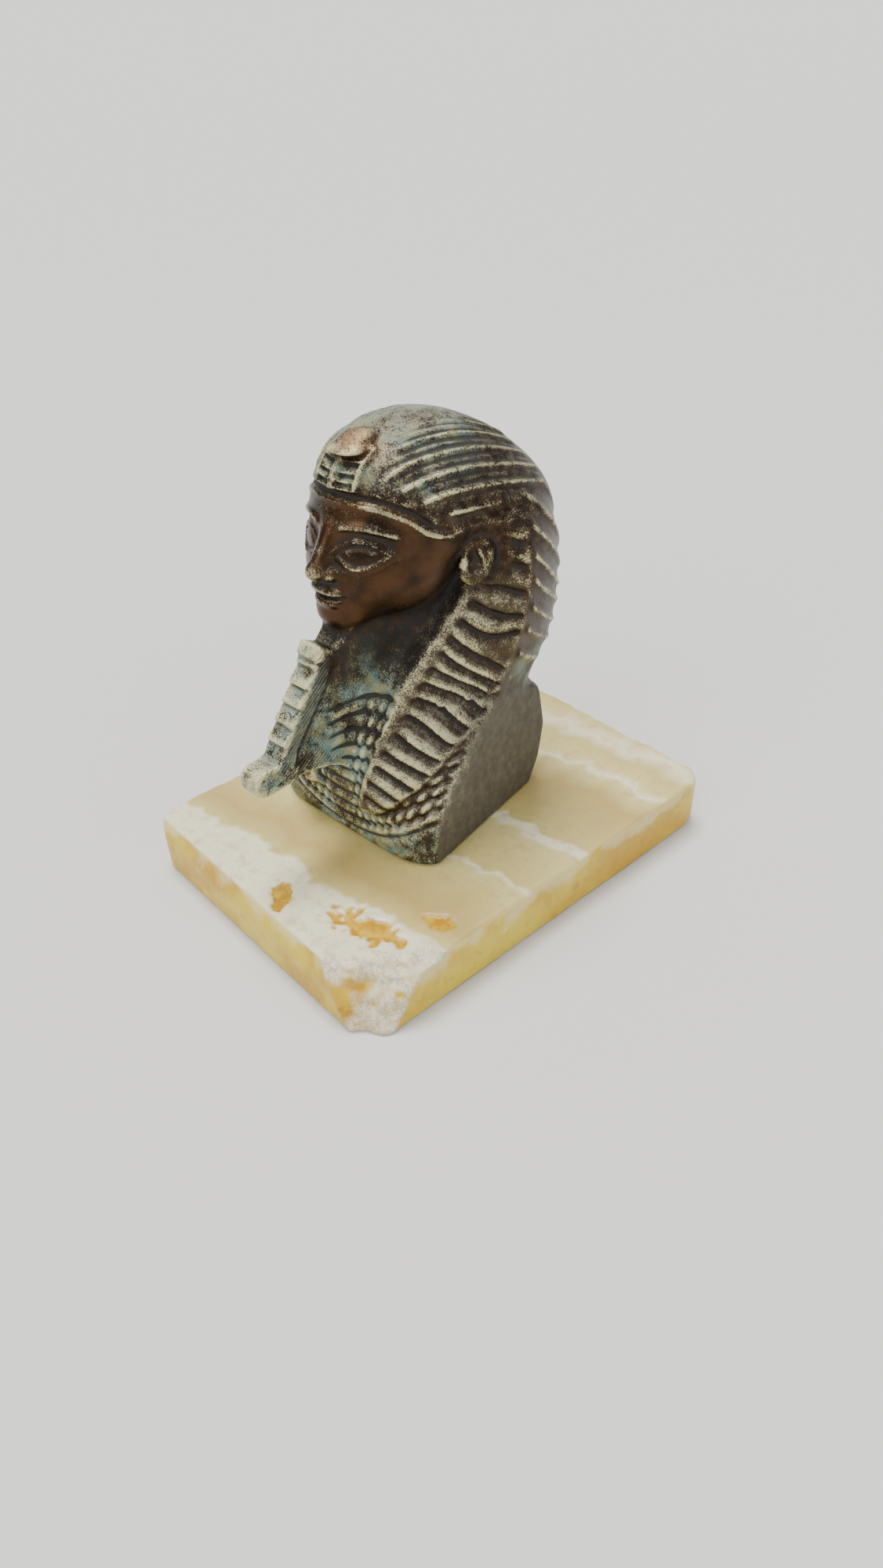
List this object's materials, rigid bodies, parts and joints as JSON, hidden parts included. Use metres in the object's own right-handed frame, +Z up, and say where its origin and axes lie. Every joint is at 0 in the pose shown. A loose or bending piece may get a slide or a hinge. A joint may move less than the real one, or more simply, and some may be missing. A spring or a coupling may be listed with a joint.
{
  "type": "pharaoh bust",
  "caption": "Cast metal bust of a pharaoh in striped headcloth and false beard, standing on a flat slab of banded onyx.",
  "frame": {"origin": "middle of the slab's underside, below the middle of the bounding box", "axes": "+Z up, the bust looks along -Y, its left side is +X"},
  "size_m": [0.0756, 0.1, 0.0957],
  "materials": {
    "dark_bronze": "dark brown patina, rubbed bright on the ridges, with pale green mottling",
    "banded_onyx": "honed and worn, cream top with white bands, honey-yellow sides"
  },
  "bodies": {
    "root": {"bust": "dark_bronze", "onyx_slab": "banded_onyx"}
  },
  "joints": []
}
